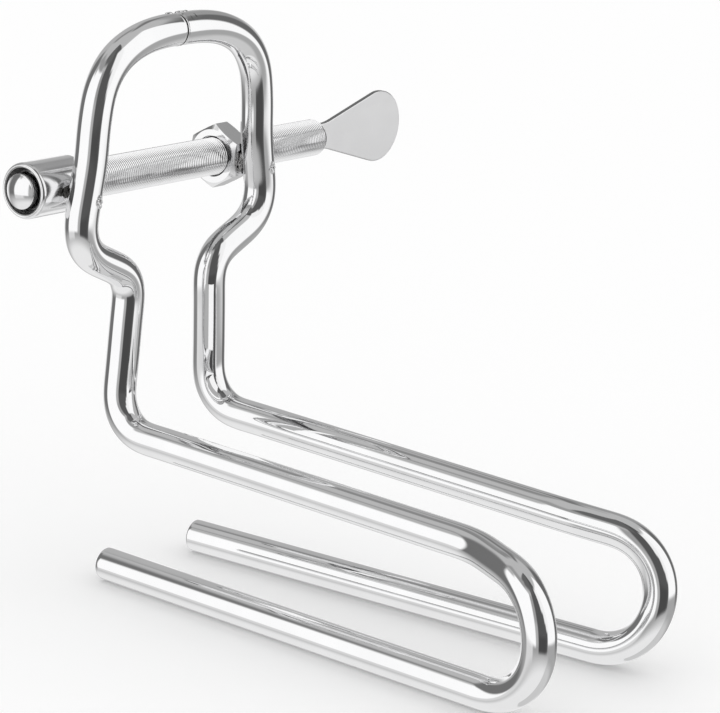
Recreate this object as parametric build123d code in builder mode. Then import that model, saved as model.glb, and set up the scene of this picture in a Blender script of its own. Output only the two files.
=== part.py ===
from build123d import *
import os
from math import radians, sqrt, tan

# Ham holder stand. Two bent round bars, mirror images of each other but for their length at the
# top, are butt-welded into an arch that holds the shank. Each bar runs down an upright, forward
# along a rail, round a front bend and back along the table as a leg. A fine-threaded screw crosses
# behind the uprights: it turns in a nut welded to the right upright and slides in a sleeve welded
# to the left one.
#
# Millimetres. +Z is up, +X runs from the sleeve to the wing blade, and +Y runs from the front bends
# to the uprights. The origin lies on the table, midway between the bars, below the arch.

os.makedirs("parts", exist_ok=True)

# ---------------------------------------------------------------- driving dimensions: bent bars
rod_diameter = 12.0
# Distances between the two bars' centrelines, from the free leg ends to the crown of the arch.
leg_end_spread = 50.0
front_low_spread = 69.0
front_top_spread = 76.0
rail_kink_spread = 52.0
post_foot_spread = 51.5
neck_spread = 44.0
shoulder_spread = 102.0
waist_spread = 91.3
post_top_spread = 89.8
arch_corner_spread = 83.3
arch_brow_spread = 45.6
crown_spread = 20.0
# How far the front bends reach in front of the uprights, how far two other corners stay behind
# that, and how far the free leg ends run past the uprights.
front_reach = 197.0
front_low_setback = 4.5
rail_kink_setback = 37.0
leg_overhang = 2.5
# The height of the uprights' feet, how far the rail's other corners lie below it, and how far each
# corner of the upright and the arch rises above the one before.
post_foot_height = 57.6
rail_kink_drop = 5.1
front_top_drop = 10.4
neck_rise = 56.0
shoulder_rise = 13.8
waist_rise = 30.1
post_top_rise = 12.3
arch_corner_rise = 20.7
arch_brow_rise = 8.2
crown_rise = 1.8
# Centreline bend radii. The two front bends share the short run between them.
front_bend_share = 0.49
rail_kink_radius = 39.0
post_foot_radius = 15.0
neck_radius = 11.3
shoulder_radius = 14.6
waist_radius = 60.0
post_top_radius = 60.0
arch_corner_radius = 24.0
arch_brow_radius = 45.0
crown_radius = 75.0
leg_end_round = 0.8
# The bars are cut and butt-welded a little to the left of the arch's middle.
seam_offset = 3.5

# ---------------------------------------------------------------- driving dimensions: clamp
screw_rise = 19.1
screw_diameter = 14.0
screw_length = 161.5
screw_end_chamfer = 0.7
thread_clearance = 0.05
nut_wall = 3.5
nut_thickness = 9.0
nut_overhang = 1.0
nut_mouth_chamfer = 0.65
nut_face_share = 0.95
nut_face_cone = 30.0
sleeve_clearance = 1.5
sleeve_outboard = 14.3
sleeve_inboard = 9.7
sleeve_weld_gap = 0.5
sleeve_round_share = 0.72
sleeve_chamfer_share = 0.2
nose_step = 0.7
nose_dome_height = 3.0
nose_rim_height = 2.2
nose_rim_round = 0.6
nose_standout = 0.5
nose_gap = 0.2
shank_diameter = 6.0
shank_length = 12.0
shank_clearance = 0.05
bore_tip_clearance = 2.0
ring_setback = 7.5
ring_wire_diameter = 1.0
ring_groove_clearance = 0.1
ring_arc = 320.0
blade_length = 53.6
blade_head_diameter = 28.0
blade_neck_width = 10.0
blade_neck_length = 7.0
blade_neck_round = 20.0
blade_thickness = 2.0
blade_edge_round = 0.4

# ---------------------------------------------------------------- driving dimensions: welds
weld_prep = 0.8
weld_crown = 0.35
bead_end_share = 0.8
sleeve_bead_radius = 3.0
sleeve_bead_runout = 2.5
nut_bead_radius = 1.9
nut_bead_length = 9.0
nut_inner_bead_inset = 3.1
nut_inner_bead_drop = 1.0
nut_outer_bead_outset = 1.0
nut_outer_bead_lift = 1.0
spot_weld_diameter = 4.6
spot_weld_height = 0.7
spot_weld_drop = 2.5
spot_weld_turn = -68.0
blade_bead_leg = 2.0
blade_bead_length = 8.0
blade_bead_crown = 0.62
blade_bead_end_round = 0.8

# ---------------------------------------------------------------- values that follow from them
rod_radius = rod_diameter / 2
screw_radius = screw_diameter / 2
nut_across_flats = screw_diameter + 2 * nut_wall
nut_corner_radius = nut_across_flats / sqrt(3)
# The nut's flat touches the back of the right upright, which sets the screw line behind the bars,
# and the nut stands out a little on the upright's inner side.
screw_offset = rod_radius + nut_across_flats / 2
# The sleeve stops short of the left upright by the gap that its weld fills.
sleeve_radius = nut_across_flats / 2 - sleeve_weld_gap
sleeve_bore_radius = screw_radius + sleeve_clearance
sleeve_wall = sleeve_radius - sleeve_bore_radius
sleeve_length = sleeve_outboard + sleeve_inboard
nose_radius = screw_radius - nose_step

rail_kink_height = post_foot_height - rail_kink_drop
front_top_height = post_foot_height - front_top_drop
neck_height = post_foot_height + neck_rise
shoulder_height = neck_height + shoulder_rise
screw_height = shoulder_height + screw_rise
waist_height = shoulder_height + waist_rise
post_top_height = waist_height + post_top_rise
arch_corner_height = post_top_height + arch_corner_rise
arch_brow_height = arch_corner_height + arch_brow_rise
crown_height = arch_brow_height + crown_rise


def bend_point(spread, reach, height):
    """A corner of the right-hand bar's centreline."""
    return Vector(spread / 2, -reach, height)


def tangent_radius(before, corner, after, tangent_length):
    """The bend radius that starts a given distance from a corner."""
    turn = (corner - before).get_angle(after - corner)
    return tangent_length / tan(radians(turn) / 2)


leg_end = bend_point(leg_end_spread, -leg_overhang, rod_radius)
front_low = bend_point(front_low_spread, front_reach - front_low_setback, rod_radius)
front_top = bend_point(front_top_spread, front_reach, front_top_height)
rail_kink = bend_point(rail_kink_spread, front_reach - rail_kink_setback, rail_kink_height)
post_foot = bend_point(post_foot_spread, 0, post_foot_height)
neck = bend_point(neck_spread, 0, neck_height)
shoulder = bend_point(shoulder_spread, 0, shoulder_height)
waist = bend_point(waist_spread, 0, waist_height)
post_top = bend_point(post_top_spread, 0, post_top_height)
arch_corner = bend_point(arch_corner_spread, 0, arch_corner_height)
arch_brow = bend_point(arch_brow_spread, 0, arch_brow_height)
crown = bend_point(crown_spread, 0, crown_height)
seam = Vector(-seam_offset, 0, crown_height)

front_tangent = front_bend_share * (front_top - front_low).length
front_low_radius = tangent_radius(leg_end, front_low, front_top, front_tangent)
front_top_radius = tangent_radius(front_low, front_top, rail_kink, front_tangent)

# Where the right-hand upright crosses the screw's height; the left one is its mirror image.
post_lean = waist - shoulder
post_x = shoulder.X + post_lean.X * (screw_height - shoulder.Z) / post_lean.Z

sleeve_left = -post_x - sleeve_outboard
nut_left = post_x - rod_radius - nut_overhang
nose_base = sleeve_left - nose_standout
screw_left = nose_base + nose_rim_height + nose_gap
screw_right = screw_left + screw_length


def screw_plane(x):
    """A plane across the screw line at x: its own x is +Y and its own y is +Z."""
    return Plane(origin=(x, screw_offset, screw_height), x_dir=(0, 1, 0), z_dir=(1, 0, 0))


def axial_plane(x):
    """A plane along the screw line from x: its own x runs along the line, its own y is +Z."""
    return Plane(origin=(x, screw_offset, screw_height), x_dir=(1, 0, 0), z_dir=(0, -1, 0))


screw_line = Axis((0, screw_offset, screw_height), (1, 0, 0))

# Planes across the two uprights at the screw's height: z runs up the upright, x points to +X.
right_post_plane = Plane(
    origin=(post_x, 0, screw_height),
    x_dir=(post_lean.Z, 0, -post_lean.X),
    z_dir=post_lean,
)
left_post_plane = Plane(
    origin=(-post_x, 0, screw_height),
    x_dir=(post_lean.Z, 0, post_lean.X),
    z_dir=(-post_lean.X, 0, post_lean.Z),
)


# ---------------------------------------------------------------- bent bars and their weld
def bent_rod(seam_x):
    """A right-hand bar, bent along its corners and cut square where the arch's seam crosses it."""
    with BuildPart() as rod:
        with BuildLine() as rod_path:
            FilletPolyline(
                leg_end,
                front_low,
                front_top,
                rail_kink,
                post_foot,
                neck,
                shoulder,
                waist,
                post_top,
                arch_corner,
                arch_brow,
                crown,
                (seam_x, 0, crown_height),
                radius=[
                    front_low_radius,
                    front_top_radius,
                    rail_kink_radius,
                    post_foot_radius,
                    neck_radius,
                    shoulder_radius,
                    waist_radius,
                    post_top_radius,
                    arch_corner_radius,
                    arch_brow_radius,
                    crown_radius,
                ],
            )
        with BuildSketch(Plane(origin=rod_path.line @ 0, z_dir=rod_path.line % 0)):
            Circle(rod_radius)
        sweep()
        flat_ends = rod.faces().filter_by(GeomType.PLANE).sort_by(Axis.Z)
        fillet(flat_ends[0].edges(), leg_end_round)
        chamfer(flat_ends[-1].edges(), weld_prep)
    return rod


right_frame_rod = bent_rod(-seam_offset)
right_frame_rod.part.label = "right_frame_rod"

with BuildPart() as left_frame_rod:
    mirror(bent_rod(seam_offset).part, about=Plane.YZ)
left_frame_rod.part.label = "left_frame_rod"

# The ring of weld fills the groove between the two chamfered ends and stands a little proud.
with BuildPart() as arch_weld:
    with BuildSketch(Plane(origin=seam, x_dir=(1, 0, 0), z_dir=(0, -1, 0))):
        with BuildLine():
            Polyline((weld_prep, rod_radius), (0, rod_radius - weld_prep), (-weld_prep, rod_radius))
            ThreePointArc(
                (-weld_prep, rod_radius),
                (0, rod_radius + weld_crown),
                (weld_prep, rod_radius),
            )
        make_face()
    revolve(axis=Axis(seam, (1, 0, 0)))
arch_weld.part.label = "arch_weld"

# ---------------------------------------------------------------- guide sleeve and nut
with BuildPart() as guide_sleeve:
    with BuildSketch(screw_plane(sleeve_left)):
        Circle(sleeve_radius)
        Circle(sleeve_bore_radius, mode=Mode.SUBTRACT)
    extrude(amount=sleeve_length)
    rims = guide_sleeve.edges().filter_by(GeomType.CIRCLE).sort_by(SortBy.RADIUS)
    chamfer(rims[:2], sleeve_chamfer_share * sleeve_wall)
    rims = guide_sleeve.edges().filter_by(GeomType.CIRCLE).sort_by(SortBy.RADIUS)
    fillet(rims[-2:], sleeve_round_share * sleeve_wall)
guide_sleeve.part.label = "guide_sleeve"

with BuildPart() as hex_nut:
    with BuildSketch(screw_plane(nut_left)):
        RegularPolygon(radius=nut_corner_radius, side_count=6, rotation=90)
    extrude(amount=nut_thickness)
    # Both ends are turned to a cone that takes the corners off and leaves a round face.
    face_radius = nut_face_share * nut_across_flats / 2
    corner_drop = (nut_corner_radius - face_radius) * tan(radians(nut_face_cone))
    with BuildSketch(axial_plane(nut_left)):
        with BuildLine():
            Polyline(
                (0, 0),
                (0, face_radius),
                (corner_drop, nut_corner_radius),
                (nut_thickness - corner_drop, nut_corner_radius),
                (nut_thickness, face_radius),
                (nut_thickness, 0),
                close=True,
            )
        make_face()
    revolve(axis=screw_line, mode=Mode.INTERSECT)
    with BuildSketch(screw_plane(nut_left)):
        Circle(screw_radius + thread_clearance)
    extrude(amount=nut_thickness, mode=Mode.SUBTRACT)
    mouths = hex_nut.edges().filter_by(GeomType.CIRCLE).sort_by(SortBy.RADIUS)[:2]
    chamfer(mouths, nut_mouth_chamfer)
hex_nut.part.label = "hex_nut"


# ---------------------------------------------------------------- clamp screw, nose and ring
# The nose's shank turns in the screw's end bore; the ring sits half in a groove of each.
bore_radius = shank_diameter / 2 + shank_clearance
bore_depth = shank_length - nose_gap + bore_tip_clearance
ring_x = nose_base + nose_rim_height + ring_setback
ring_centre_radius = shank_diameter / 2
ring_wire_radius = ring_wire_diameter / 2
groove_half_width = ring_wire_radius + ring_groove_clearance
shank_groove_radius = ring_centre_radius - ring_wire_radius - ring_groove_clearance / 2
bore_groove_radius = ring_centre_radius + ring_wire_radius + ring_groove_clearance

with BuildPart() as clamp_screw:
    with BuildSketch(screw_plane(screw_left)):
        Circle(screw_radius)
    extrude(amount=screw_length)
    chamfer(clamp_screw.edges().filter_by(GeomType.CIRCLE), screw_end_chamfer)
    with BuildSketch(screw_plane(screw_left)):
        Circle(bore_radius)
    extrude(amount=bore_depth, mode=Mode.SUBTRACT)
    with BuildSketch(screw_plane(ring_x - groove_half_width)):
        Circle(bore_groove_radius)
    extrude(amount=2 * groove_half_width, mode=Mode.SUBTRACT)
clamp_screw.part.label = "clamp_screw"

with BuildPart() as swivel_nose:
    with BuildSketch(axial_plane(nose_base)) as nose_profile:
        with BuildLine():
            dome = TangentArc((-nose_dome_height, 0), (0, nose_radius), tangent=(0, 1))
            Polyline(
                dome @ 1,
                (nose_rim_height, nose_radius),
                (nose_rim_height, shank_diameter / 2),
                (nose_rim_height + shank_length, shank_diameter / 2),
                (nose_rim_height + shank_length, 0),
                dome @ 0,
            )
        make_face()
        fillet(nose_profile.vertices().group_by(Axis.Y)[-1], nose_rim_round)
    revolve(axis=screw_line)
    with BuildSketch(screw_plane(ring_x - groove_half_width)):
        Circle(shank_diameter)
        Circle(shank_groove_radius, mode=Mode.SUBTRACT)
    extrude(amount=2 * groove_half_width, mode=Mode.SUBTRACT)
swivel_nose.part.label = "swivel_nose"

with BuildPart() as nose_retaining_ring:
    with BuildSketch(axial_plane(ring_x)):
        with Locations((0, ring_centre_radius)):
            Circle(ring_wire_radius)
    revolve(axis=screw_line, revolution_arc=ring_arc)
nose_retaining_ring.part.label = "nose_retaining_ring"

# ---------------------------------------------------------------- wing blade
with BuildPart() as wing_blade:
    with BuildSketch(axial_plane(screw_right)) as blade_outline:
        with Locations((blade_length - blade_head_diameter / 2, 0)):
            Circle(blade_head_diameter / 2)
        with Locations((blade_neck_length - blade_edge_round / 2, 0)):
            Rectangle(blade_edge_round, blade_neck_width)
        make_hull()
        with Locations((blade_neck_length / 2, 0)):
            Rectangle(blade_neck_length, blade_neck_width)
        neck_corners = blade_outline.vertices().group_by(Axis.X)[1]
        fillet(neck_corners, blade_neck_round)
    extrude(amount=blade_thickness / 2, both=True)
    root_face = wing_blade.faces().sort_by(Axis.X)[0]
    flat_faces = wing_blade.faces().filter_by(Axis.Y)
    fillet(flat_faces.edges() - root_face.edges(), blade_edge_round)
wing_blade.part.label = "wing_blade"

# ---------------------------------------------------------------- weld beads
# One bead fills the gap between the sleeve and the left upright and stands out on both sides.
with BuildPart() as sleeve_weld:
    with Locations((-post_x, rod_radius, screw_height)):
        Cylinder(sleeve_bead_radius, rod_diameter + 2 * sleeve_bead_runout, rotation=(0, 90, 0))
    fillet(sleeve_weld.edges().filter_by(GeomType.CIRCLE), bead_end_share * sleeve_bead_radius)
    with BuildSketch(screw_plane(sleeve_left)):
        Circle(sleeve_radius)
    extrude(amount=sleeve_length, mode=Mode.SUBTRACT)
    add(left_frame_rod.part, mode=Mode.SUBTRACT)
sleeve_weld.part.label = "sleeve_weld"

# The nut's two beads run along the upright, one on each side of the line where the two touch.
inner_bead_x = nut_left + nut_inner_bead_inset - post_x
outer_bead_x = nut_left + nut_thickness + nut_outer_bead_outset - post_x
outer_bead_reach = rod_radius + nut_outer_bead_lift
nut_bead_spots = [
    (inner_bead_x, rod_radius - nut_inner_bead_drop, 0),
    (outer_bead_x, sqrt(outer_bead_reach**2 - outer_bead_x**2), 0),
]
nut_beads = []
for spot in nut_bead_spots:
    with BuildPart() as bead:
        with Locations(right_post_plane):
            with Locations(spot):
                Cylinder(nut_bead_radius, nut_bead_length)
        fillet(bead.edges().filter_by(GeomType.CIRCLE), bead_end_share * nut_bead_radius)
        add(hex_nut.part, mode=Mode.SUBTRACT)
        add(right_frame_rod.part, mode=Mode.SUBTRACT)
    nut_beads.append(bead.part)
with BuildPart() as nut_weld:
    add(nut_beads)
nut_weld.part.label = "nut_weld"

# A low round spot of weld on the front inner side of each upright, just under the screw line.
spot_radius = (spot_weld_diameter**2 / 4 + spot_weld_height**2) / (2 * spot_weld_height)
spot_reach = rod_radius + spot_weld_height - spot_radius
with BuildPart() as spot_welds:
    for upright in (left_post_plane, right_post_plane):
        with Locations(upright):
            with Locations(Location((0, 0, -spot_weld_drop), (0, 0, spot_weld_turn))):
                with Locations((spot_reach, 0, 0)):
                    Sphere(spot_radius)
    add(left_frame_rod.part, mode=Mode.SUBTRACT)
    add(right_frame_rod.part, mode=Mode.SUBTRACT)
spot_welds.part.label = "spot_welds"

# The blade's root stands square on the screw's end and is welded along its rear side.
with BuildPart() as wing_weld:
    rear_corner = Plane(origin=(screw_right, screw_offset + blade_thickness / 2, screw_height))
    with BuildSketch(rear_corner):
        with BuildLine():
            Polyline((0, blade_bead_leg), (0, 0), (blade_bead_leg, 0))
            ThreePointArc(
                (blade_bead_leg, 0),
                (blade_bead_leg * blade_bead_crown, blade_bead_leg * blade_bead_crown),
                (0, blade_bead_leg),
            )
        make_face()
    extrude(amount=blade_bead_length / 2, both=True)
    bead_ends = wing_weld.faces().filter_by(Axis.Z).edges().filter_by(GeomType.CIRCLE)
    fillet(bead_ends, blade_bead_end_round)
wing_weld.part.label = "wing_weld"

for piece in (
    left_frame_rod,
    right_frame_rod,
    arch_weld,
    guide_sleeve,
    sleeve_weld,
    hex_nut,
    nut_weld,
    spot_welds,
    clamp_screw,
    swivel_nose,
    nose_retaining_ring,
    wing_blade,
    wing_weld,
):
    export_step(piece.part, f"parts/{piece.part.label}.step")
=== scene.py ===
"""Ham holder stand: finishes, fine detail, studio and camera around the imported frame, in metres."""

from math import acos, asin, atan2, cos, exp, pi, radians, sin, tan

import bmesh
import bpy
import numpy as np
from mathutils import Matrix, Vector, noise as turbulence


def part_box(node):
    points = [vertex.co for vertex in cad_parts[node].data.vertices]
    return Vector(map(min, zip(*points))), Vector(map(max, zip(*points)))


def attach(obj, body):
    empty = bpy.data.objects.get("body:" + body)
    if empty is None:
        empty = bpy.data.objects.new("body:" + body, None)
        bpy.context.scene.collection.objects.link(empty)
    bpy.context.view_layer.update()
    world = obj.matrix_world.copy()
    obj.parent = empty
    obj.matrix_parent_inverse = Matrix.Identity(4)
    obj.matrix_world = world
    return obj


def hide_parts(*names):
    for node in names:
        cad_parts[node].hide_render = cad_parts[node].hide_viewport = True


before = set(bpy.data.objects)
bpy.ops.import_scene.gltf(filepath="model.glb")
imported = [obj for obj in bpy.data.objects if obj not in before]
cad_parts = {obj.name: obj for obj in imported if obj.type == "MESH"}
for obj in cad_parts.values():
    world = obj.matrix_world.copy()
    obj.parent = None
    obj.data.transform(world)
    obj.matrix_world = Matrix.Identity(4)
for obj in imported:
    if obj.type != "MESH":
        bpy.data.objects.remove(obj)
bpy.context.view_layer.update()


# ---------------------------------------------------------------- node helpers
def new_material(name):
    """A material with an empty tree but for its output and one Principled shader."""
    material = bpy.data.materials.new(name)
    material.use_nodes = True
    tree = material.node_tree
    return material, tree, tree.nodes["Principled BSDF"]


def math_node(tree, operation, first, second=None, third=None):
    """The output of a Math node; each operand is a number or another node's output."""
    made = tree.nodes.new("ShaderNodeMath")
    made.operation = operation
    for socket, value in zip(made.inputs, (first, second, third)):
        if value is None:
            continue
        if isinstance(value, bpy.types.NodeSocket):
            tree.links.new(value, socket)
        else:
            socket.default_value = value
    return made.outputs[0]


def fade(tree, value, start, end, low=0.0, high=1.0):
    """A smooth step of value, from low at start to high at end."""
    made = tree.nodes.new("ShaderNodeMapRange")
    made.interpolation_type = "SMOOTHSTEP"
    tree.links.new(value, made.inputs["Value"])
    limits = (("From Min", start), ("From Max", end), ("To Min", low), ("To Max", high))
    for name, number in limits:
        made.inputs[name].default_value = number
    return made.outputs["Result"]


def separate(tree, kind):
    """The three components of a texture coordinate of that kind."""
    place = tree.nodes.new("ShaderNodeTexCoord")
    split = tree.nodes.new("ShaderNodeSeparateXYZ")
    tree.links.new(place.outputs[kind], split.inputs[0])
    return split.outputs


def noise(tree, scale, detail=3.0, stretch=(1, 1, 1)):
    """The Fac output of a noise texture in the piece's own coordinates, stretched along an axis."""
    place = tree.nodes.new("ShaderNodeTexCoord")
    mapping = tree.nodes.new("ShaderNodeMapping")
    mapping.inputs["Scale"].default_value = stretch
    texture = tree.nodes.new("ShaderNodeTexNoise")
    texture.inputs["Scale"].default_value = scale
    texture.inputs["Detail"].default_value = detail
    tree.links.new(place.outputs["Object"], mapping.inputs["Vector"])
    tree.links.new(mapping.outputs["Vector"], texture.inputs["Vector"])
    return texture.outputs["Fac"]


def shade_base(material, factor):
    """Multiplies a material's base colour by a factor that varies over the surface."""
    tree = material.node_tree
    base = tree.nodes["Principled BSDF"].inputs["Base Color"]
    mix = tree.nodes.new("ShaderNodeMix")
    mix.data_type = "RGBA"
    mix.blend_type = "MULTIPLY"
    mix.inputs["Factor"].default_value = 1.0
    tree.links.new(base.links[0].from_socket, mix.inputs["A"])
    tree.links.new(factor, mix.inputs["B"])
    tree.links.new(mix.outputs["Result"], base)


# ---------------------------------------------------------------- finishes
CLOUD_START = 0.3
CLOUD_END = 0.7
CLOUD_DARKEST = 0.96
GRAIN_DETAIL = 4.0


def metal(name, colour, roughness, spread, wear_scale, bump_height, bump_scale, stretch=(1, 1, 1)):
    """Bare steel: roughness and tint vary with noise, over a fine bump."""
    material, tree, shader = new_material(name)
    shader.inputs["Metallic"].default_value = 1.0
    cloud = noise(tree, wear_scale)
    worn = fade(tree, cloud, CLOUD_START, CLOUD_END, roughness - spread, roughness + spread)
    tree.links.new(worn, shader.inputs["Roughness"])
    ramp = tree.nodes.new("ShaderNodeValToRGB")
    dark, light = ramp.color_ramp.elements
    dark.position = CLOUD_START
    light.position = CLOUD_END
    dark.color = (*[CLOUD_DARKEST * c for c in colour], 1)
    light.color = (*colour, 1)
    tree.links.new(cloud, ramp.inputs["Fac"])
    tree.links.new(ramp.outputs["Color"], shader.inputs["Base Color"])
    grain = noise(tree, bump_scale, GRAIN_DETAIL, stretch)
    bump = tree.nodes.new("ShaderNodeBump")
    bump.inputs["Strength"].default_value = 1.0
    bump.inputs["Distance"].default_value = bump_height
    tree.links.new(grain, bump.inputs["Height"])
    tree.links.new(bump.outputs["Normal"], shader.inputs["Normal"])
    return material


polished_bar = metal("polished_bar", (0.93, 0.93, 0.935), 0.045, 0.01, 60, 0.000005, 90)
turned_steel = metal("turned_steel", (0.92, 0.92, 0.925), 0.09, 0.02, 90, 0.000003, 160)
thread_steel = metal("thread_steel", (0.95, 0.95, 0.955), 0.10, 0.02, 200, 0.000001, 700)
satin_blade = metal("satin_blade", (0.90, 0.90, 0.905), 0.33, 0.03, 120, 0.000006, 500, (0.2, 1, 1))
weld_steel = metal("weld_steel", (0.78, 0.78, 0.785), 0.20, 0.06, 900, 0.00002, 1200)
spring_steel = metal("spring_steel", (0.7, 0.7, 0.7), 0.25, 0.05, 300, 0.000004, 800)
sleeve_steel = metal("sleeve_steel", (0.90, 0.90, 0.905), 0.12, 0.02, 90, 0.000003, 160)
# Painted shade: steel darkened for the inside of the sleeve's bore, where shade falls.
bore_shade_steel = metal("bore_shade_steel", (0.42, 0.42, 0.42), 0.30, 0.05, 200, 0.00001, 400)
# Dull weld steel, darkened further as painted shade for the nut's shaded face.
dull_weld_and_shade = metal("dull_weld_and_shade", (0.42, 0.415, 0.41), 0.30, 0.08, 900, 0.00003, 1500)
burnt_weld = metal("burnt_weld", (0.09, 0.088, 0.085), 0.40, 0.10, 900, 0.00005, 1500)

# Painted shade on the blade's rim: the share of the colour left there, and the span of the normal's y
# over which it fades out.
RIM_SHADE = 0.30
RIM_START = 0.35
RIM_END = 0.97


def paint_rim_shade(material):
    """Paints shade onto the blade's rim, where the surface doesn't face along y."""
    tree = material.node_tree
    facing = math_node(tree, "ABSOLUTE", separate(tree, "Normal")["Y"])
    shade_base(material, fade(tree, facing, RIM_START, RIM_END, RIM_SHADE, 1.0))


def finish_node(node, material):
    """Gives a CAD node that stays in view its one material."""
    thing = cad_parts[node]
    thing.data.materials.clear()
    thing.data.materials.append(material)


# Painted shade along the blade's rim, as a dark outline.
paint_rim_shade(satin_blade)
finish_node("hex_nut", turned_steel)
finish_node("wing_blade", satin_blade)
finish_node("nose_retaining_ring", spring_steel)


# ---------------------------------------------------------------- mesh helpers
def new_piece(name, shape, *materials):
    """An object made from a bmesh, smooth all over, with its materials."""
    mesh = bpy.data.meshes.new(name)
    shape.to_mesh(mesh)
    shape.free()
    mesh.polygons.foreach_set("use_smooth", [True] * len(mesh.polygons))
    for material in materials:
        mesh.materials.append(material)
    piece = bpy.data.objects.new(name, mesh)
    bpy.context.scene.collection.objects.link(piece)
    return piece


def ring_faces(shape, rings):
    """Quads between rings of equally many vertices, each ring closed on itself."""
    for here, there in zip(rings[:-1], rings[1:]):
        for k in range(len(here)):
            n = (k + 1) % len(here)
            shape.faces.new((here[k], here[n], there[n], there[k]))


def close_ring(shape, ring, middle):
    """A fan from a ring to a vertex in its middle."""
    centre = shape.verts.new(middle)
    for k in range(len(ring)):
        n = (k + 1) % len(ring)
        shape.faces.new((ring[k], ring[n], centre))


def lathe_box(node):
    """A round CAD node along x: its box, the y and z of its axis, and its outer radius."""
    low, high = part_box(node)
    return low, high, (low.y + high.y) / 2, (low.z + high.z) / 2, (high.z - low.z) / 2


def turned_rings(shape, profile, axis_y, axis_z, around):
    """A profile of (x, radius) turned about an axis along x, as rings joined by quads."""
    rings = []
    for x, radius in profile:
        ring = []
        for k in range(around):
            angle = 2 * pi * k / around
            place = (x, axis_y + radius * cos(angle), axis_z + radius * sin(angle))
            ring.append(shape.verts.new(place))
        rings.append(ring)
    ring_faces(shape, rings)
    return rings


# ---------------------------------------------------------------- bent bars
# The right bar's corners from the leg's free end to the middle of the arch, with the bend radius
# at each. The last one lies on the plane between the two bars, and the seam a little to its left.
BAR_RADIUS = 0.006
BAR_CORNERS = (
    ((0.0250, 0.0025, 0.0060), 0),
    ((0.0345, -0.1925, 0.0060), 0.0228),
    ((0.0380, -0.1970, 0.0472), 0.0205),
    ((0.0260, -0.1600, 0.0525), 0.0390),
    ((0.02575, 0.0, 0.0576), 0.0150),
    ((0.0220, 0.0, 0.1136), 0.0113),
    ((0.0510, 0.0, 0.1274), 0.0146),
    ((0.04565, 0.0, 0.1575), 0.0600),
    ((0.0449, 0.0, 0.1698), 0.0600),
    ((0.04165, 0.0, 0.1905), 0.0240),
    ((0.0228, 0.0, 0.1987), 0.0450),
    ((0.0100, 0.0, 0.2005), 0.0750),
    ((0.0, 0.0, 0.2005), 0),
)
ARCH_HEIGHT = BAR_CORNERS[-1][0][2]
BAR_STEP = 0.0005
BAR_AROUND = 60
# The width that a bend is eased over, and how many such widths the averaging takes in.
BAR_EASE = 0.004
EASE_REACH = 4
# Every second point of the path gets a ring, apart from those near its two ends.
BAR_RING_EVERY = 2
BAR_POINTS_BEFORE_SEAM = 6
BAR_END_ROUND = 0.0008
BAR_END_STEPS = 4
BAR_END_INNER_RING = 0.12

SEAM_X = -0.0035
# Rings near the seam: how far before it, and how much smaller than the bar.
SEAM_SETBACKS = (
    (0.0023, 0), (0.0020, 0), (0.0017, 0), (0.0014, 0), (0.0011, 0), (0.0008, 0),
    (0.0005, 0.00004), (0.0003, 0.0002), (0.0002, 0.0006),
)
# The grinding on the top of the seam: its depth, its reach along the bar, how far it leans from
# the top, how wide it spreads round the bar, and the height below which no ring is cut.
NOTCH_DEPTH = 0.0011
NOTCH_REACH = 0.0012
NOTCH_LEAN = radians(14)
NOTCH_SPREAD = 0.55
NOTCH_LOWEST = 0.199


def unit(vector):
    """The vector at a length of one."""
    return vector / np.linalg.norm(vector)


def cornered_path(corners, step):
    """Points along straight runs joined by tangent arcs."""
    points = [np.array(corners[0][0])]
    for (before, _), (corner, radius), (after, _) in zip(corners, corners[1:], corners[2:]):
        corner = np.array(corner)
        arriving = unit(corner - np.array(before))
        leaving = unit(np.array(after) - corner)
        turn = acos(min(1.0, arriving @ leaving))
        centre = corner + unit(leaving - arriving) * radius / cos(turn / 2)
        start = corner - arriving * radius * tan(turn / 2)
        count = int(radius * turn / step) + 1
        for k in range(count + 1):
            angle = turn * k / count
            points.append(centre + (start - centre) * cos(angle) + arriving * radius * sin(angle))
    points.append(np.array(corners[-1][0]))
    return np.array(points)


def evenly_spaced(points, step):
    """The same path with its points a fixed distance apart."""
    lengths = np.linalg.norm(np.diff(points, axis=0), axis=1)
    along = np.concatenate(([0.0], np.cumsum(lengths)))
    places = np.linspace(0, along[-1], round(along[-1] / step) + 1)
    return np.stack([np.interp(places, along, points[:, c]) for c in range(3)], axis=1)


def eased(points, step, width):
    """The path averaged over a width, so that bends grow out of the straight runs gradually."""
    reach = int(EASE_REACH * width / step)
    before = points[0] + (points[0] - points[1]) * np.arange(reach, 0, -1)[:, None]
    beyond = points[-1] + (points[-1] - points[-2]) * np.arange(1, reach + 1)[:, None]
    longer = np.vstack((before, points, beyond))
    weights = np.exp(-0.5 * (np.arange(-reach, reach + 1) * step / width) ** 2)
    weights /= weights.sum()
    return np.stack([np.convolve(longer[:, c], weights, "valid") for c in range(3)], axis=1)


def bar_path(seam_x):
    """A right-hand bar's centreline up to the seam, eased twice over to keep to the corners' arcs."""
    half = evenly_spaced(cornered_path(BAR_CORNERS, BAR_STEP), BAR_STEP)
    whole = np.vstack((half, half[:-1][::-1] * (-1, 1, 1)))
    once = eased(whole, BAR_STEP, BAR_EASE)
    path = 2 * once - eased(once, BAR_STEP, BAR_EASE)
    path[:, 2] = np.maximum(path[:, 2], BAR_RADIUS)
    kept = path[: int(np.argmax(path[:, 0] < seam_x))]
    last = kept[-1].copy()
    last[0] = seam_x
    return np.vstack((kept[:-1], last))


def seam_notch(x, lean):
    """How deep the grinding cuts into the top of the arch, at a place x and an angle from up."""
    lean = (lean + NOTCH_LEAN + pi) % (2 * pi) - pi
    along = exp(-(((x - SEAM_X) / NOTCH_REACH) ** 2))
    return NOTCH_DEPTH * along * exp(-((lean / NOTCH_SPREAD) ** 2))


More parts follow.
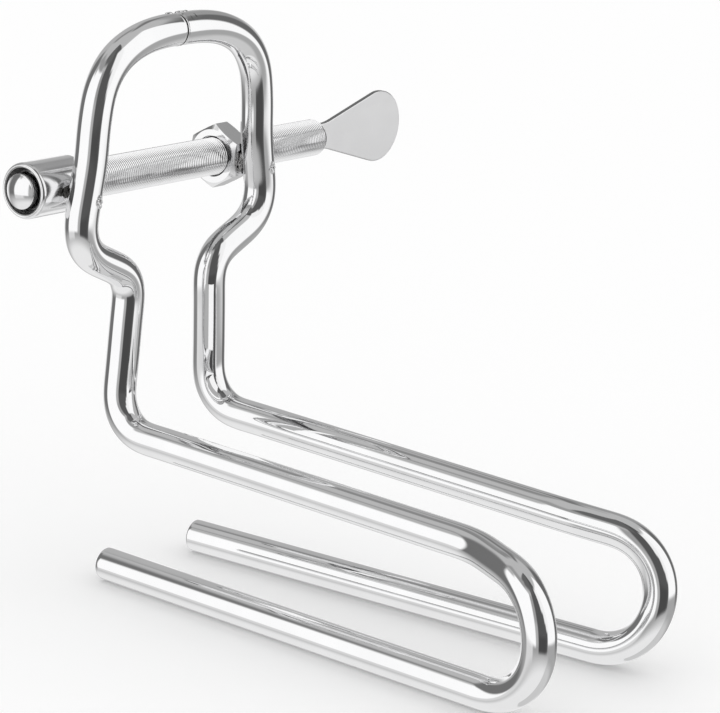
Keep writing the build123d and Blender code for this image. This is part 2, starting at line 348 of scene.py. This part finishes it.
def bar_sections(path):
    """Each ring's centre, direction and radius, with a rounded end and a chamfer at the seam."""
    headings = np.gradient(path, axis=0)
    headings /= np.linalg.norm(headings, axis=1)[:, None]
    first, last = headings[0], headings[-1]
    sections = []
    for k in range(BAR_END_STEPS + 1):
        angle = pi / 2 * k / BAR_END_STEPS
        inset = BAR_END_ROUND * (1 - cos(angle))
        radius = BAR_RADIUS - BAR_END_ROUND * (1 - sin(angle))
        sections.append((path[0] + first * inset, first, radius))
    for k in range(2 * BAR_RING_EVERY, len(path) - BAR_POINTS_BEFORE_SEAM, BAR_RING_EVERY):
        sections.append((path[k], headings[k], BAR_RADIUS))
    for setback, drop in SEAM_SETBACKS:
        sections.append((path[-1] - last * setback, last, BAR_RADIUS - drop))
    return sections


def bent_bar(name, side):
    """One bar as a swept tube: side 1 for the right bar, -1 for the left one."""
    shape = bmesh.new()
    sections = bar_sections(bar_path(side * SEAM_X))
    across = np.array((0.0, 0.0, 1.0))
    rings = []
    for centre, heading, radius in sections:
        across = unit(across - heading * (across @ heading))
        other = np.cross(heading, across)
        ring = []
        for k in range(BAR_AROUND):
            angle = 2 * pi * k / BAR_AROUND
            out = across * cos(angle) + other * sin(angle)
            depth = radius
            if centre[2] > NOTCH_LOWEST:
                depth -= seam_notch(side * centre[0], atan2(-out[1], out[2]))
            x, y, z = centre + depth * out
            ring.append(shape.verts.new((side * x, y, z)))
        rings.append(ring)
    ring_faces(shape, rings)
    for end in (0, -1):
        x, y, z = sections[end][0]
        middle = Vector((side * x, y, z))
        inner = [shape.verts.new(v.co.lerp(middle, BAR_END_INNER_RING)) for v in rings[end]]
        ring_faces(shape, [rings[end], inner])
        close_ring(shape, inner, middle)
    bmesh.ops.recalc_face_normals(shape, faces=shape.faces)
    bar = new_piece(name, shape, polished_bar)
    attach(bar, "frame")
    return bar


right_bar = bent_bar("right_bent_bar", 1)
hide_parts("right_frame_rod")
left_bar = bent_bar("left_bent_bar", -1)
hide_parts("left_frame_rod")


# ---------------------------------------------------------------- threaded screw
PITCH = 0.001
THREAD_DEPTH = 0.61 * PITCH
CREST_FLAT = PITCH / 8
ROOT_FLAT = PITCH / 4
THREAD_END_CHAMFER = 0.0007
THREAD_AROUND = 72
THREAD_SHARP = radians(25)
# Painted shade: grooves darken to this share of the colour, between two shares of the depth below the
# crest.
GROOVE_SHADE = 0.15
GROOVE_DARKEST = 0.92
GROOVE_LIGHTEST = 0.30
SAME_PLACE = 1e-7


def paint_groove_shade(material, axis_y, axis_z, crest):
    """Paints shade into the thread's grooves, by the distance from its axis."""
    tree = material.node_tree
    place = separate(tree, "Object")
    off_y = math_node(tree, "SUBTRACT", place["Y"], axis_y)
    off_z = math_node(tree, "SUBTRACT", place["Z"], axis_z)
    square = math_node(tree, "MULTIPLY_ADD", off_y, off_y, math_node(tree, "MULTIPLY", off_z, off_z))
    radius = math_node(tree, "SQRT", square)
    darkest = crest - GROOVE_DARKEST * THREAD_DEPTH
    lightest = crest - GROOVE_LIGHTEST * THREAD_DEPTH
    shade_base(material, fade(tree, radius, darkest, lightest, GROOVE_SHADE, 1.0))


def thread_profile(crest_radius):
    """Points of one pitch of an ISO thread: (share of the pitch, radius)."""
    root_radius = crest_radius - THREAD_DEPTH
    flank = (PITCH - CREST_FLAT - ROOT_FLAT) / 2
    corners = (
        (0, root_radius),
        (ROOT_FLAT, root_radius),
        (ROOT_FLAT + flank, crest_radius),
        (ROOT_FLAT + flank + CREST_FLAT, crest_radius),
    )
    return [(x / PITCH, r) for x, r in corners]


def threaded_screw():
    """The clamp screw with its real helical thread and chamfered ends."""
    low, high, axis_y, axis_z, crest = lathe_box("clamp_screw")
    profile = thread_profile(crest)
    end_radius = crest - THREAD_END_CHAMFER
    turns = int((high.x - low.x) / PITCH) + 3
    shape = bmesh.new()
    columns = []
    for k in range(THREAD_AROUND):
        angle = 2 * pi * k / THREAD_AROUND
        column = []
        for turn in range(-1, turns):
            for share, radius in profile:
                x = low.x + PITCH * (turn + share + k / THREAD_AROUND)
                x = min(max(x, low.x), high.x)
                radius = min(radius, end_radius + min(x - low.x, high.x - x))
                place = (x, axis_y + radius * cos(angle), axis_z + radius * sin(angle))
                column.append(shape.verts.new(place))
        columns.append(column)
    for k, here in enumerate(columns):
        there = columns[(k + 1) % THREAD_AROUND]
        shift = len(profile) if k == THREAD_AROUND - 1 else 0
        for m in range(min(len(here) - 1, len(there) - 1 - shift)):
            n = m + shift
            shape.faces.new((here[m], here[m + 1], there[n + 1], there[n]))
    bmesh.ops.remove_doubles(shape, verts=shape.verts, dist=SAME_PLACE)
    bmesh.ops.dissolve_degenerate(shape, edges=shape.edges, dist=SAME_PLACE)
    rims = [edge for edge in shape.edges if edge.is_boundary]
    bmesh.ops.holes_fill(shape, edges=rims, sides=0)
    bmesh.ops.recalc_face_normals(shape, faces=shape.faces)
    # Painted shade in the thread's grooves.
    paint_groove_shade(thread_steel, axis_y, axis_z, crest)
    piece = new_piece("threaded_screw", shape, thread_steel)
    piece.data.set_sharp_from_angle(angle=THREAD_SHARP)
    return piece


screw = threaded_screw()
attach(screw, "screw")
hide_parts("clamp_screw")


# ---------------------------------------------------------------- guide sleeve
SLEEVE_WALL = 0.0015
SLEEVE_LIP = 0.0014
SLEEVE_LIP_STEPS = 8
# The fine line that the tool left inside the lip: how far above the bore, how wide and how deep.
SLEEVE_LINE = 0.0004
SLEEVE_LINE_HALF_WIDTH = 0.0002
SLEEVE_LINE_DEPTH = 0.0003
SLEEVE_BACK_ROUND = 0.0007
SLEEVE_BACK_STEPS = 6
SLEEVE_AROUND = 96
BORE_SHADE_REACH = 0.0002


def sleeve_profile(low, high, outer, bore):
    """Points (x, radius) from the bore's mouth over the lip and the outside, and back inside."""
    line = bore + SLEEVE_LINE
    lip = line + SLEEVE_LINE_HALF_WIDTH
    profile = [
        (low.x + 0.0012, bore),
        (low.x + 0.0006, bore - 0.0003),
        (low.x + 0.0002, bore - 0.0003),
        (low.x, bore - 0.0001),
        (low.x, line - SLEEVE_LINE_HALF_WIDTH),
        (low.x + SLEEVE_LINE_DEPTH, line),
        (low.x, lip),
    ]
    for k in range(1, SLEEVE_LIP_STEPS + 1):
        angle = pi / 2 * k / SLEEVE_LIP_STEPS
        profile.append((low.x + SLEEVE_LIP * (1 - cos(angle)), lip + (outer - lip) * sin(angle)))
    length = high.x - low.x
    profile += [(low.x + length * share, outer) for share in (0.25, 0.5, 0.75, 0.96)]
    for k in range(SLEEVE_BACK_STEPS + 1):
        angle = pi * k / SLEEVE_BACK_STEPS
        radius = (outer + bore) / 2 + (outer - bore) / 2 * cos(angle)
        profile.append((high.x - SLEEVE_BACK_ROUND * (1 - sin(angle)), radius))
    profile += [(low.x + length * share, bore) for share in (0.75, 0.5, 0.25, 0.07)]
    return profile


def turned_sleeve():
    """The sleeve as a turned tube with a rounded end, a tool line inside its lip and painted shade in
    its bore.
    """
    low, high, axis_y, axis_z, outer = lathe_box("guide_sleeve")
    bore = outer - SLEEVE_WALL
    shape = bmesh.new()
    profile = sleeve_profile(low, high, outer, bore)
    rings = turned_rings(shape, profile, axis_y, axis_z, SLEEVE_AROUND)
    ring_faces(shape, [rings[-1], rings[0]])
    # Faces at the bore get the darkened steel, painted shade inside the tube.
    for face in shape.faces:
        middle = face.calc_center_median()
        from_axis = Vector((0, middle.y - axis_y, middle.z - axis_z)).length
        face.material_index = 1 if from_axis < bore + BORE_SHADE_REACH else 0
    bmesh.ops.recalc_face_normals(shape, faces=shape.faces)
    return new_piece("turned_sleeve", shape, sleeve_steel, bore_shade_steel)


sleeve = turned_sleeve()
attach(sleeve, "frame")
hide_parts("guide_sleeve")


# ---------------------------------------------------------------- pressure nose
NOSE_DOME_HEIGHT = 0.0021
NOSE_DOME_STEPS = 18
NOSE_HEAD_LENGTH = 0.0052
NOSE_EDGE = 0.0003
NOSE_AROUND = 72
NOSE_SHARP = radians(50)
SHANK_RADIUS = 0.003
SHANK_GROOVE_DEPTH = 0.0006


def nose_profile(low, high, head):
    """Points (x, radius) from the dome over the flank to the shank's end."""
    rim = head - NOSE_EDGE
    soft_edge = 0.3 * NOSE_EDGE
    dome_radius = (NOSE_DOME_HEIGHT**2 + rim**2) / (2 * NOSE_DOME_HEIGHT)
    steepest = asin(rim / dome_radius)
    profile = []
    for k in range(1, NOSE_DOME_STEPS + 1):
        angle = steepest * k / NOSE_DOME_STEPS
        profile.append((low.x + dome_radius * (1 - cos(angle)), dome_radius * sin(angle)))
    edge = low.x + NOSE_DOME_HEIGHT
    back = low.x + NOSE_HEAD_LENGTH
    ring_low, ring_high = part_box("nose_retaining_ring")
    groove = SHANK_RADIUS - SHANK_GROOVE_DEPTH
    profile += [
        (edge + soft_edge, head - soft_edge),
        (edge + NOSE_EDGE, head),
        (back - NOSE_EDGE, head),
        (back, rim),
        (back, SHANK_RADIUS),
        (ring_low.x, SHANK_RADIUS),
        (ring_low.x, groove),
        (ring_high.x, groove),
        (ring_high.x, SHANK_RADIUS),
        (high.x - NOSE_EDGE, SHANK_RADIUS),
        (high.x, SHANK_RADIUS - NOSE_EDGE),
    ]
    return profile


def turned_nose():
    """The nose: a flat dome, a straight flank, and the shank with the split ring's groove."""
    low, high, axis_y, axis_z, head = lathe_box("swivel_nose")
    shape = bmesh.new()
    rings = turned_rings(shape, nose_profile(low, high, head), axis_y, axis_z, NOSE_AROUND)
    close_ring(shape, rings[0], (low.x, axis_y, axis_z))
    close_ring(shape, rings[-1], (high.x, axis_y, axis_z))
    bmesh.ops.recalc_face_normals(shape, faces=shape.faces)
    piece = new_piece("turned_nose", shape, turned_steel)
    piece.data.set_sharp_from_angle(angle=NOSE_SHARP)
    return piece


nose = turned_nose()
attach(nose, "nose")
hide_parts("swivel_nose")


# ---------------------------------------------------------------- welds
WELD_CELL = 0.00014
WELD_GRAIN = 0.0009
BEAD_WANDER = 0.25
SPOT_LUMPS = 11
SPOT_HALF_WIDTH = 0.95
SPOT_HALF_HEIGHT = 1.7
# The direction that the spot welds face, in degrees from +X, and their middles in millimetres.
SPOT_TURN = -80
RIGHT_SPOT = Vector((48.7, -5.80, 144.9))
LEFT_SPOT = Vector((-46.9, -5.85, 144.7))


def add_lump(shape, place, sizes):
    """A ball with these half sizes in millimetres, put into a place."""
    scale = Matrix.Diagonal((*[half / 1000 for half in sizes], 1))
    bmesh.ops.create_icosphere(shape, subdivisions=3, radius=1.0, matrix=place @ scale)


def skin(piece, cell):
    """Merges a piece's overlapping parts into one even mesh."""
    remesh = piece.modifiers.new("skin", "REMESH")
    remesh.mode = "VOXEL"
    remesh.voxel_size = cell
    bpy.context.view_layer.update()
    graph = bpy.context.evaluated_depsgraph_get()
    merged = bpy.data.meshes.new_from_object(piece.evaluated_get(graph))
    piece.modifiers.clear()
    old = piece.data
    piece.data = merged
    bpy.data.meshes.remove(old)
    merged.name = piece.name
    merged.polygons.foreach_set("use_smooth", [True] * len(merged.polygons))


def roughen(piece, depth, size, seed):
    """Moves a mesh's surface in and out by a fixed noise, as a weld freezes."""
    shift = Vector((seed * 3.7, seed * 1.3, seed * 5.1))
    mesh = piece.data
    moved = []
    for vertex in mesh.vertices:
        lump = turbulence.fractal(vertex.co / size + shift, 1.0, 2.0, 3)
        moved.append(vertex.co + vertex.normal * depth * lump)
    for vertex, place in zip(mesh.vertices, moved):
        vertex.co = place
    mesh.update()


def weld(name, node, body, lumps, material, depth, seed):
    """Lumps in millimetres, each a middle and half sizes, standing for a CAD weld."""
    shape = bmesh.new()
    for middle, sizes in lumps:
        add_lump(shape, Matrix.Translation(Vector(middle) / 1000), sizes)
    piece = new_piece(name, shape, material)
    skin(piece, WELD_CELL)
    roughen(piece, depth, WELD_GRAIN, seed)
    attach(piece, body)
    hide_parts(node)


def bead_run(start, end, count, radius):
    """Lumps along a line in millimetres, alternately larger and smaller, as a bead is laid."""
    lumps = []
    for k in range(count):
        share = k / (count - 1)
        middle = Vector(start).lerp(Vector(end), share)
        middle += Vector((sin(5.1 * k), cos(3.7 * k), 0)) * BEAD_WANDER * radius
        size = radius * (1.0 - 0.18 * (k % 2) - 0.22 * abs(2 * share - 1))
        lumps.append((middle, (size, size, size * 1.25)))
    return lumps


def spot_ring(middle):
    """A spot weld's torn rim: lumps round an upright oval on a bar's side."""
    across = Vector((-sin(radians(SPOT_TURN)), cos(radians(SPOT_TURN)), 0))
    lumps = []
    for k in range(SPOT_LUMPS):
        angle = 2 * pi * k / SPOT_LUMPS
        rise = Vector((0, 0, SPOT_HALF_HEIGHT * sin(angle)))
        size = 0.66 + 0.14 * sin(2.3 * k + 0.6)
        place = middle + across * SPOT_HALF_WIDTH * cos(angle) + rise
        lumps.append((place, (size, size, size * 1.2)))
    return lumps


def spot_burn(middle):
    """The burnt pit inside a spot weld's rim."""
    return middle - Vector((0.1, -0.55, 0)), (1.9, 0.72, 2.75)


weld(
    "spot_weld_marks", "spot_welds", "frame",
    spot_ring(RIGHT_SPOT) + spot_ring(LEFT_SPOT),
    weld_steel, 0.00016, 1,
)
weld(
    "spot_weld_burns", "spot_welds", "frame",
    [spot_burn(RIGHT_SPOT), spot_burn(LEFT_SPOT)],
    burnt_weld, 0.00010, 7,
)
# The nut's beads: dull weld, with painted shade in their darker colour.
weld(
    "nut_beads", "nut_weld", "frame",
    bead_run((50.9, 6.4, 143.6), (50.9, 6.6, 150.4), 6, 1.55)
    + bead_run((43.7, 5.3, 142.8), (43.7, 5.3, 148.2), 5, 1.0),
    dull_weld_and_shade, 0.00012, 2,
)
weld(
    "sleeve_beads", "sleeve_weld", "frame",
    bead_run((-51.9, 5.2, 145.7), (-51.8, 5.3, 147.5), 3, 1.05)
    + bead_run((-42.8, 5.1, 144.6), (-43.0, 5.2, 148.4), 4, 1.3)
    + [((-47.6, 6.2, 146.5), (5.2, 0.7, 2.4))],
    burnt_weld, 0.00018, 3,
)
weld(
    "wing_bead", "wing_weld", "screw",
    bead_run((102.2, 18.2, 143.4), (102.2, 18.2, 149.6), 7, 0.95),
    weld_steel, 0.00018, 4,
)


# ---------------------------------------------------------------- arch seam
# The right half of the bead's cross-section: the distance from its middle and the lift above the
# bar. The other half mirrors it, and a dark groove lies between the two.
SEAM_GROOVE = -0.00038
SEAM_SIDE = (
    (0.00014, -0.00022),
    (0.0003, 0.00003),
    (0.0005, 0.00009),
    (0.0008, 0.00007),
    (0.0011, 0.00001),
    (0.0014, -0.00020),
    (0.0014, -0.0012),
)
SEAM_AROUND = 120
SEAM_SWAY = 0.00012
SEAM_ROUGHNESS = 0.00005
SEAM_DARK_REACH = 0.0004
DROP_CELL = 0.0001
DROP_GRAIN = 0.0007
DROP_ROUGHNESS = 0.00008
DROP_SINK = 0.00008


def seam_bead():
    """The ground butt weld: a low ring with a dark line down its middle, notched at the top."""
    left_side = tuple((-offset, lift) for offset, lift in reversed(SEAM_SIDE))
    section = left_side + ((0.0, SEAM_GROOVE),) + SEAM_SIDE
    shape = bmesh.new()
    rings = []
    for offset, lift in section:
        ring = []
        for k in range(SEAM_AROUND):
            angle = 2 * pi * k / SEAM_AROUND
            y, z = sin(angle), cos(angle)
            sway = SEAM_SWAY * turbulence.noise(Vector((z * 2.1, y * 2.1, 0.4)))
            rough = SEAM_ROUGHNESS * turbulence.noise(Vector((offset * 1800, z * 9, y * 9)))
            x = SEAM_X + offset + sway
            radius = BAR_RADIUS + lift + rough - seam_notch(x, -angle)
            ring.append(shape.verts.new((x, radius * y, ARCH_HEIGHT + radius * z)))
        rings.append(ring)
    ring_faces(shape, rings + rings[:1])
    middle = len(SEAM_SIDE)
    for vertex in rings[middle - 1] + rings[middle] + rings[middle + 1]:
        for face in vertex.link_faces:
            if max(abs(v.co.x - SEAM_X) for v in face.verts) < SEAM_DARK_REACH:
                face.material_index = 1
    bmesh.ops.recalc_face_normals(shape, faces=shape.faces)
    bead = new_piece("arch_seam_bead", shape, turned_steel, burnt_weld)
    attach(bead, "frame")
    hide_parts("arch_weld")


def spatter(name, lumps, material, seed):
    """Small frozen drops on the arch beside the seam: x and half sizes in millimetres, and a lean."""
    shape = bmesh.new()
    for x, lean, sizes in lumps:
        out = Vector((0, -sin(radians(lean)), cos(radians(lean))))
        middle = Vector((x, 0, 1000 * ARCH_HEIGHT)) / 1000 + out * (BAR_RADIUS - DROP_SINK)
        place = Matrix.Translation(middle) @ Matrix.Rotation(radians(lean), 4, "X")
        add_lump(shape, place, sizes)
    piece = new_piece(name, shape, material)
    skin(piece, DROP_CELL)
    roughen(piece, DROP_ROUGHNESS, DROP_GRAIN, seed)
    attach(piece, "frame")


seam_bead()
spatter(
    "seam_drops",
    ((-6.6, -8, (1.5, 1.3, 0.42)), (-0.7, -12, (1.5, 1.5, 0.42)), (1.2, -4, (1.3, 1.1, 0.38))),
    turned_steel, 5,
)
spatter(
    "seam_pits",
    ((0.4, 42, (0.22, 1.0, 0.14)), (3.2, 33, (0.30, 1.1, 0.14)), (2.4, -6, (0.8, 0.7, 0.36))),
    burnt_weld, 6,
)


# ---------------------------------------------------------------- studio
FLOOR_SIZE = 12.0
FLOOR_WHITE = 0.99
# The cards stand round this place on the right upright, this far from it.
CARD_SEEN_FROM = Vector((0.02575, 0, 0))
CARD_DISTANCE = 0.041
CARD_LOW = 0.067
CARD_HIGH = 0.096


def studio_floor():
    """A wide pale floor that keeps the object's shadow. Metal mirrors the light tent instead."""
    material, _, shader = new_material("floor_paper")
    shader.inputs["Base Color"].default_value = (FLOOR_WHITE, FLOOR_WHITE, FLOOR_WHITE, 1)
    shader.inputs["Roughness"].default_value = 1.0
    shader.inputs["Specular IOR Level"].default_value = 0.0
    shape = bmesh.new()
    bmesh.ops.create_grid(shape, x_segments=1, y_segments=1, size=FLOOR_SIZE / 2)
    floor = new_piece("studio_floor", shape, material)
    floor.visible_glossy = False


def reflector_card(name, turn, half_width, brightness):
    """A small card that only metal sees. It stands between the bars, at a turn from the upright."""
    material, _, shader = new_material(name)
    shader.inputs["Base Color"].default_value = (0, 0, 0, 1)
    shader.inputs["Specular IOR Level"].default_value = 0.0
    shader.inputs["Emission Color"].default_value = (1, 1, 1, 1)
    shader.inputs["Emission Strength"].default_value = brightness
    away = Vector((sin(radians(turn)), cos(radians(turn)), 0))
    across = Vector((away.y, -away.x, 0)) * half_width
    middle = CARD_SEEN_FROM + away * CARD_DISTANCE
    shape = bmesh.new()
    corners = []
    for side, z in ((-1, CARD_LOW), (1, CARD_LOW), (1, CARD_HIGH), (-1, CARD_HIGH)):
        corners.append(shape.verts.new(middle + across * side + Vector((0, 0, z))))
    shape.faces.new(corners)
    card = new_piece(name, shape, material)
    card.visible_camera = False
    card.visible_diffuse = False
    card.visible_shadow = False
    card.visible_transmission = False


# Below the horizon metal mirrors the table, which gets brighter towards the object: an elevation
# in degrees and the brightness there.
TABLE_FAR = (-18, 0.35)
TABLE_NEAR = (-50, 0.86)
# Each panel of the light tent: its middle and half width in azimuth, its lowest and highest
# elevation, its brightness and how softly it ends. Azimuth 0 is along +Y and 90 along +X, in
# degrees. A panel covers the ones before it.
TENT_PANELS = (
    ("back_low_wall", 0, 200, -18, 10, 0.45, 5),
    ("right_table_shade", 122, 44, -100, -16, 0.40, 8),
    ("right_table_low", 122, 44, -100, -36, 0.62, 7),
    ("left_table_glow", -62, 24, -31, -15, 0.72, 5),
    ("right_table_glow", 69, 10, -46, -31, 0.95, 5),
    ("upper_back", 30, 34, 8, 48, 0.46, 6),
    ("ceiling", 0, 200, 47, 100, 0.50, 4),
    ("back_wall", 38, 29, -22, 8, 1.0, 7),
    ("back_side", 70, 10, -13, 14, 0.60, 4),
    ("upper_side", 70, 14, 14, 45, 0.33, 5),
    ("back_streak", 54, 7, 36, 64, 0.19, 4),
    ("ceiling_streak", 27, 17, 49, 60, 0.26, 4),
    ("rear_left_gap", -21, 19, -20, 45, 0.17, 5),
    ("right_gap", 101, 16, -20, 43, 0.14, 6),
    ("right_softbox", 148, 31, -13, 62, 1.04, 3),
    ("camera_gap", -151.5, 28.5, -24, 100, 0.095, 4),
    ("camera_gap_foot", -148, 23, -24, -4, 0.07, 4),
    ("camera_softbox_low", -183, 8, 4, 22, 0.95, 4),
    ("camera_softbox_middle", -180, 9, 14, 50, 0.95, 4),
    ("camera_softbox_high", -176, 12, 30, 62, 0.95, 4),
    ("high_left_gap", -112, 32, 55, 100, 0.13, 6),
    ("left_header", -62, 32, 46, 62, 0.33, 4),
    ("left_softbox", -73, 34, -19, 46, 1.06, 3),
    ("left_corner", -46, 9, 36, 48, 0.45, 5),
)


def tent_world():
    """White to the camera and to diffuse light; metal mirrors the panels of a light tent."""
    world = bpy.data.worlds.new("light_tent")
    bpy.context.scene.world = world
    world.use_nodes = True
    tree = world.node_tree
    background = tree.nodes["Background"]
    direction = separate(tree, "Generated")
    azimuth = math_node(tree, "ARCTAN2", direction["X"], direction["Y"])
    azimuth = math_node(tree, "MULTIPLY", azimuth, 180 / pi)
    elevation = math_node(tree, "ARCSINE", direction["Z"])
    elevation = math_node(tree, "MULTIPLY", elevation, 180 / pi)
    value = fade(tree, elevation, TABLE_FAR[0], TABLE_NEAR[0], TABLE_FAR[1], TABLE_NEAR[1])
    for name, middle, half, lowest, highest, brightness, edge in TENT_PANELS:
        turned = math_node(tree, "SUBTRACT", azimuth, middle)
        turned = math_node(tree, "WRAP", turned, 180.0, -180.0)
        across = fade(tree, math_node(tree, "ABSOLUTE", turned), half + edge, half - edge)
        above = fade(tree, elevation, lowest - edge, lowest + edge)
        below = fade(tree, elevation, highest + edge, highest - edge)
        inside = math_node(tree, "MULTIPLY", across, math_node(tree, "MULTIPLY", above, below))
        mix = tree.nodes.new("ShaderNodeMix")
        mix.label = name
        tree.links.new(inside, mix.inputs["Factor"])
        tree.links.new(value, mix.inputs["A"])
        mix.inputs["B"].default_value = brightness
        value = mix.outputs["Result"]
    path = tree.nodes.new("ShaderNodeLightPath")
    final = tree.nodes.new("ShaderNodeMix")
    tree.links.new(path.outputs["Is Glossy Ray"], final.inputs["Factor"])
    final.inputs["A"].default_value = 1.0
    tree.links.new(value, final.inputs["B"])
    tree.links.new(final.outputs["Result"], background.inputs["Strength"])
    background.inputs["Color"].default_value = (1, 1, 1, 1)


studio_floor()
reflector_card("white_card", -142, 0.012, 1.0)
reflector_card("grey_card", -116, 0.008, 0.45)
tent_world()


# ---------------------------------------------------------------- camera
VIEW_TARGET = Vector((-0.07044, -0.14009, 0.12124))
VIEW_DISTANCE = 1.10225
VIEW_AZIMUTH = radians(53.40)
VIEW_ELEVATION = radians(14.66)
VIEW_ROLL = radians(3.66)
LENS = 171.69
SENSOR_WIDTH = 36.0


def view_camera():
    """A long lens from the front left, a little above the arch, rolled slightly."""
    forward = Vector((
        sin(VIEW_AZIMUTH) * cos(VIEW_ELEVATION),
        cos(VIEW_AZIMUTH) * cos(VIEW_ELEVATION),
        -sin(VIEW_ELEVATION),
    ))
    level = Vector((cos(VIEW_AZIMUTH), -sin(VIEW_AZIMUTH), 0))
    upright = level.cross(forward)
    right = level * cos(VIEW_ROLL) + upright * sin(VIEW_ROLL)
    up = upright * cos(VIEW_ROLL) - level * sin(VIEW_ROLL)
    data = bpy.data.cameras.new("view_camera")
    data.lens = LENS
    data.sensor_width = SENSOR_WIDTH
    data.sensor_fit = "HORIZONTAL"
    camera = bpy.data.objects.new("view_camera", data)
    bpy.context.scene.collection.objects.link(camera)
    turn = Matrix((right, up, -forward)).transposed().to_4x4()
    camera.matrix_world = Matrix.Translation(VIEW_TARGET - forward * VIEW_DISTANCE) @ turn
    bpy.context.scene.camera = camera


view_camera()
bpy.context.scene.view_settings.view_transform = "Standard"
